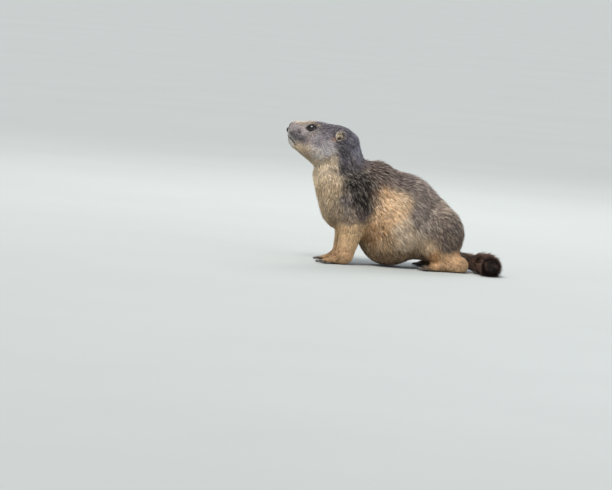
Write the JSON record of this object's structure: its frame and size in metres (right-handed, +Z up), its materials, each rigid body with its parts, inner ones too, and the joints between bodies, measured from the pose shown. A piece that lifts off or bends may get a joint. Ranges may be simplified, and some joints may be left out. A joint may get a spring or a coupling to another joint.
{
  "type": "alpine marmot model",
  "caption": "Life-size museum model of an alpine marmot, alert, propped on straight forelegs with raised head, crouched hindquarters and its bushy tail on the ground.",
  "frame": {"origin": "centre of the bounding box's bottom, on the ground between the four feet", "axes": "+X to the nose, +Y to the animal's left, +Z up"},
  "size_m": [0.3522, 0.1712, 0.2241],
  "materials": {
    "head_fur": "short soft fur, grizzled grey with a pale muzzle",
    "body_fur": "thick guard hair over underfur, banded cream, brown and black",
    "leg_fur": "shorter tan and cream fur",
    "foot_fur": "very short fur over bare toe pads",
    "tail_fur": "long bushy dark brown hair, black at the tip",
    "claw": "worn dark horn",
    "nose_pad": "moist black pebbled skin",
    "eye": "polished near-black brown"
  },
  "bodies": {
    "root": {"head": "head_fur", "neck": "body_fur", "torso": "body_fur", "tail": "tail_fur", "foreleg_left": "leg_fur", "foreleg_right": "leg_fur", "hindleg_left": "body_fur", "hindleg_right": "body_fur", "forefoot_left": "foot_fur", "forefoot_right": "foot_fur", "hindfoot_left": "foot_fur", "hindfoot_right": "foot_fur", "ear_left": "head_fur", "ear_right": "head_fur", "eye_left": "eye", "eye_right": "eye", "nose": "nose_pad", "forefoot_left_claw_1": "claw", "forefoot_left_claw_2": "claw", "forefoot_left_claw_3": "claw", "forefoot_left_claw_4": "claw", "forefoot_right_claw_1": "claw", "forefoot_right_claw_2": "claw", "forefoot_right_claw_3": "claw", "forefoot_right_claw_4": "claw", "hindfoot_left_claw_1": "claw", "hindfoot_left_claw_2": "claw", "hindfoot_left_claw_3": "claw", "hindfoot_left_claw_4": "claw", "hindfoot_left_claw_5": "claw", "hindfoot_right_claw_1": "claw", "hindfoot_right_claw_2": "claw", "hindfoot_right_claw_3": "claw", "hindfoot_right_claw_4": "claw", "hindfoot_right_claw_5": "claw"}
  },
  "joints": []
}
